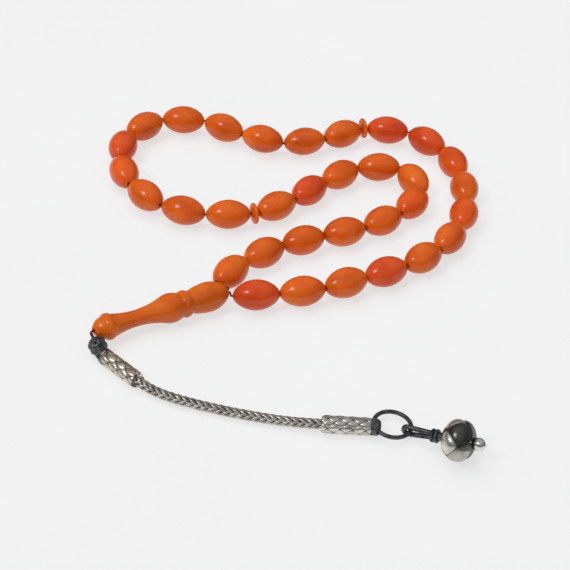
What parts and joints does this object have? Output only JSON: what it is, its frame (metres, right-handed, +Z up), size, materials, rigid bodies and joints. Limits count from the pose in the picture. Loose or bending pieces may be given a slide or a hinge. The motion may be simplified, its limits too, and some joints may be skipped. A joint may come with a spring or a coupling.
{
  "type": "prayer beads",
  "caption": "Loop of olive-shaped amber prayer beads on a thread, with marker discs, a turned imame and a braided silver tassel that ends in a ring and a woven ball.",
  "frame": {"origin": "on the surface the beads lie on, under the middle of the beads, the imame and the head of the tassel", "axes": "+Z up from the surface, +Y from the tassel to the far end of the loop, +X across the loop towards the pendant"},
  "size_m": [0.1212, 0.1568, 0.0119],
  "materials": {
    "amber": "polished amber resin, slightly translucent",
    "amber_red": "polished darker amber resin, slightly translucent",
    "amber_imame": "polished amber resin, slightly translucent",
    "thread": "twisted dark thread",
    "dark_silver": "darkened silver wire",
    "woven_silver": "antique silver weave",
    "oxidised_silver": "oxidised silver",
    "bright_silver": "polished silver",
    "plain_silver": "plain silver"
  },
  "bodies": {
    "strand": {"stringing_thread": "thread"},
    "imame": {"imame": "amber_imame"},
    "tassel": {"knot_ball": "dark_silver", "neck_collar": "dark_silver", "upper_sleeve": "woven_silver", "braided_cord": "woven_silver", "lower_sleeve": "woven_silver", "end_cap": "woven_silver"},
    "ring": {"hanging_ring": "oxidised_silver"},
    "pendant": {"hanger_link": "oxidised_silver", "link_collar": "oxidised_silver", "ball_shell": "woven_silver", "ball_core": "plain_silver", "pendant_pin": "plain_silver", "granule": "bright_silver"},
    "bead_01": {"bead_01": "amber_red"},
    "bead_02": {"bead_02": "amber"},
    "bead_03": {"bead_03": "amber"},
    "bead_04": {"bead_04": "amber_red"},
    "bead_05": {"bead_05": "amber"},
    "bead_06": {"bead_06": "amber"},
    "bead_07": {"bead_07": "amber"},
    "bead_08": {"bead_08": "amber"},
    "bead_09": {"bead_09": "amber"},
    "bead_10": {"bead_10": "amber_red"},
    "bead_11": {"bead_11": "amber_red"},
    "marker_disc_1": {"marker_disc_1": "amber"},
    "bead_12": {"bead_12": "amber"},
    "bead_13": {"bead_13": "amber"},
    "bead_14": {"bead_14": "amber"},
    "bead_15": {"bead_15": "amber"},
    "bead_16": {"bead_16": "amber"},
    "bead_17": {"bead_17": "amber"},
    "bead_18": {"bead_18": "amber_red"},
    "bead_19": {"bead_19": "amber"},
    "bead_20": {"bead_20": "amber"},
    "bead_21": {"bead_21": "amber"},
    "bead_22": {"bead_22": "amber"},
    "marker_disc_2": {"marker_disc_2": "amber"},
    "bead_23": {"bead_23": "amber"},
    "bead_24": {"bead_24": "amber_red"},
    "bead_25": {"bead_25": "amber"},
    "bead_26": {"bead_26": "amber"},
    "bead_27": {"bead_27": "amber"},
    "bead_28": {"bead_28": "amber"},
    "bead_29": {"bead_29": "amber"},
    "bead_30": {"bead_30": "amber"},
    "bead_31": {"bead_31": "amber"},
    "bead_32": {"bead_32": "amber"},
    "bead_33": {"bead_33": "amber"}
  },
  "joints": [
    {"name": "tassel_swing", "type": "hinge", "parent": "strand", "child": "tassel", "pos_m": [-0.05112, -0.05304, 0.00322], "axis": [0, 0, 1], "range_deg": [-45, 3]},
    {"name": "ring_tilt", "type": "hinge", "parent": "tassel", "child": "ring", "pos_m": [0.02983, -0.07645, 0.0026], "axis": [0.4078, -0.9129, 0.0174], "range_deg": [-60, 75]},
    {"name": "pendant_swing", "type": "hinge", "parent": "ring", "child": "pendant", "pos_m": [0.03925, -0.07607, 0.00205], "axis": [-0.3067, -0.9499, 0.0596], "range_deg": [-90, 50]},
    {"name": "imame_spin", "type": "hinge", "parent": "strand", "child": "imame", "pos_m": [-0.0516, -0.0508, 0.00462], "axis": [0.8425, 0.5388, 0], "continuous": true},
    {"name": "bead_01_spin", "type": "hinge", "parent": "strand", "child": "bead_01", "pos_m": [-0.00718, -0.02825, 0.00462], "axis": [0.9746, 0.2241, 0], "continuous": true},
    {"name": "bead_02_spin", "type": "hinge", "parent": "strand", "child": "bead_02", "pos_m": [0.00665, -0.02434, 0.00462], "axis": [0.9471, 0.3208, 0], "continuous": true},
    {"name": "bead_03_spin", "type": "hinge", "parent": "strand", "child": "bead_03", "pos_m": [0.01934, -0.01848, 0.00462], "axis": [0.858, 0.5136, 0], "continuous": true},
    {"name": "bead_04_spin", "type": "hinge", "parent": "strand", "child": "bead_04", "pos_m": [0.03144, -0.01136, 0.00462], "axis": [0.8653, 0.5013, 0], "continuous": true},
    {"name": "bead_05_spin", "type": "hinge", "parent": "strand", "child": "bead_05", "pos_m": [0.0426, -0.00288, 0.00462], "axis": [0.7157, 0.6984, 0], "continuous": true},
    {"name": "bead_06_spin", "type": "hinge", "parent": "strand", "child": "bead_06", "pos_m": [0.05112, 0.00832, 0.00462], "axis": [0.4822, 0.8761, 0], "continuous": true},
    {"name": "bead_07_spin", "type": "hinge", "parent": "strand", "child": "bead_07", "pos_m": [0.05567, 0.02158, 0.00462], "axis": [0.1577, 0.9875, 0], "continuous": true},
    {"name": "bead_08_spin", "type": "hinge", "parent": "strand", "child": "bead_08", "pos_m": [0.05608, 0.03567, 0.00462], "axis": [-0.1012, 0.9949, 0], "continuous": true},
    {"name": "bead_09_spin", "type": "hinge", "parent": "strand", "child": "bead_09", "pos_m": [0.05261, 0.04937, 0.00462], "axis": [-0.3834, 0.9236, 0], "continuous": true},
    {"name": "bead_10_spin", "type": "hinge", "parent": "strand", "child": "bead_10", "pos_m": [0.0439, 0.06016, 0.00462], "axis": [-0.8197, 0.5729, 0], "continuous": true},
    {"name": "bead_11_spin", "type": "hinge", "parent": "strand", "child": "bead_11", "pos_m": [0.03074, 0.06444, 0.00462], "axis": [-0.9998, 0.0178, 0], "continuous": true},
    {"name": "marker_disc_1_spin", "type": "hinge", "parent": "strand", "child": "marker_disc_1", "pos_m": [0.02239, 0.06411, 0.00462], "axis": [-0.9262, -0.377, 0], "continuous": true},
    {"name": "bead_12_spin", "type": "hinge", "parent": "strand", "child": "bead_12", "pos_m": [0.01548, 0.05956, 0.00462], "axis": [-0.8161, -0.5779, 0], "continuous": true},
    {"name": "bead_13_spin", "type": "hinge", "parent": "strand", "child": "bead_13", "pos_m": [0.00296, 0.053, 0.00462], "axis": [-0.9391, -0.3438, 0], "continuous": true},
    {"name": "bead_14_spin", "type": "hinge", "parent": "strand", "child": "bead_14", "pos_m": [-0.01076, 0.05209, 0.00462], "axis": [-0.9758, 0.2185, 0], "continuous": true},
    {"name": "bead_15_spin", "type": "hinge", "parent": "strand", "child": "bead_15", "pos_m": [-0.02429, 0.0565, 0.00462], "axis": [-0.9172, 0.3983, 0], "continuous": true},
    {"name": "bead_16_spin", "type": "hinge", "parent": "strand", "child": "bead_16", "pos_m": [-0.03808, 0.05871, 0.00462], "axis": [-0.9963, -0.0864, 0], "continuous": true},
    {"name": "bead_17_spin", "type": "hinge", "parent": "strand", "child": "bead_17", "pos_m": [-0.05035, 0.05273, 0.00462], "axis": [-0.6838, -0.7296, 0], "continuous": true},
    {"name": "bead_18_spin", "type": "hinge", "parent": "strand", "child": "bead_18", "pos_m": [-0.05587, 0.04015, 0.00462], "axis": [-0.0709, -0.9975, 0], "continuous": true},
    {"name": "bead_19_spin", "type": "hinge", "parent": "strand", "child": "bead_19", "pos_m": [-0.05357, 0.02628, 0.00462], "axis": [0.391, -0.9204, 0], "continuous": true},
    {"name": "bead_20_spin", "type": "hinge", "parent": "strand", "child": "bead_20", "pos_m": [-0.04525, 0.01499, 0.00462], "axis": [0.7631, -0.6462, 0], "continuous": true},
    {"name": "bead_21_spin", "type": "hinge", "parent": "strand", "child": "bead_21", "pos_m": [-0.03265, 0.00915, 0.00462], "axis": [0.9866, -0.163, 0], "continuous": true},
    {"name": "bead_22_spin", "type": "hinge", "parent": "strand", "child": "bead_22", "pos_m": [-0.01857, 0.00928, 0.00462], "axis": [0.9833, 0.1822, 0], "continuous": true},
    {"name": "marker_disc_2_spin", "type": "hinge", "parent": "strand", "child": "marker_disc_2", "pos_m": [-0.0105, 0.01106, 0.00462], "axis": [0.9123, 0.4096, 0], "continuous": true},
    {"name": "bead_23_spin", "type": "hinge", "parent": "strand", "child": "bead_23", "pos_m": [-0.00392, 0.016, 0.00462], "axis": [0.7762, 0.6305, 0], "continuous": true},
    {"name": "bead_24_spin", "type": "hinge", "parent": "strand", "child": "bead_24", "pos_m": [0.00605, 0.0259, 0.00462], "axis": [0.636, 0.7717, 0], "continuous": true},
    {"name": "bead_25_spin", "type": "hinge", "parent": "strand", "child": "bead_25", "pos_m": [0.01573, 0.03623, 0.00462], "axis": [0.7282, 0.6853, 0], "continuous": true},
    {"name": "bead_26_spin", "type": "hinge", "parent": "strand", "child": "bead_26", "pos_m": [0.02825, 0.0425, 0.00462], "axis": [0.9825, 0.186, 0], "continuous": true},
    {"name": "bead_27_spin", "type": "hinge", "parent": "strand", "child": "bead_27", "pos_m": [0.03943, 0.03732, 0.00462], "axis": [0.5051, -0.8631, 0], "continuous": true},
    {"name": "bead_28_spin", "type": "hinge", "parent": "strand", "child": "bead_28", "pos_m": [0.03932, 0.02455, 0.00462], "axis": [-0.5377, -0.8431, 0], "continuous": true},
    {"name": "bead_29_spin", "type": "hinge", "parent": "strand", "child": "bead_29", "pos_m": [0.02991, 0.01381, 0.00462], "axis": [-0.7692, -0.6391, 0], "continuous": true},
    {"name": "bead_30_spin", "type": "hinge", "parent": "strand", "child": "bead_30", "pos_m": [0.01807, 0.00629, 0.00462], "axis": [-0.9058, -0.4238, 0], "continuous": true},
    {"name": "bead_31_spin", "type": "hinge", "parent": "strand", "child": "bead_31", "pos_m": [0.00552, -0.00006, 0.00462], "axis": [-0.8781, -0.4785, 0], "continuous": true},
    {"name": "bead_32_spin", "type": "hinge", "parent": "strand", "child": "bead_32", "pos_m": [-0.00605, -0.00801, 0.00462], "axis": [-0.7619, -0.6477, 0], "continuous": true},
    {"name": "bead_33_spin", "type": "hinge", "parent": "strand", "child": "bead_33", "pos_m": [-0.01555, -0.01907, 0.00462], "axis": [-0.535, -0.8448, 0], "continuous": true}
  ]
}
